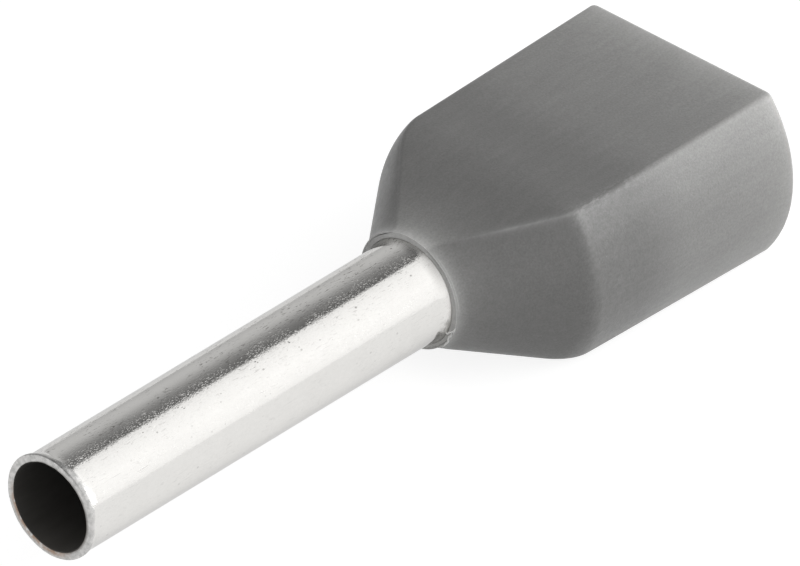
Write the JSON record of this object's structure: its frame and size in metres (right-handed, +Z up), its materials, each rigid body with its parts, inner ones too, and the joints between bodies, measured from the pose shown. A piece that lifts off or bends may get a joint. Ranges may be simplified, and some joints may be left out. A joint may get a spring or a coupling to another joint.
{
  "type": "twin wire ferrule",
  "caption": "Insulated end sleeve for two stranded wires: a thin plated copper tube whose inner end opens inside a flat moulded grey collar.",
  "frame": {"origin": "centre of the sleeve's cut end, on the sleeve's axis", "axes": "+X along the sleeve from its cut end into the collar, +Z up out of the collar's flat top, and the two wires lie side by side along Y"},
  "size_m": [0.0175, 0.0058, 0.0036],
  "materials": {
    "tinned_copper": "satin",
    "grey_plastic": "matte"
  },
  "bodies": {
    "root": {"sleeve": "tinned_copper", "collar": "grey_plastic"}
  },
  "joints": []
}
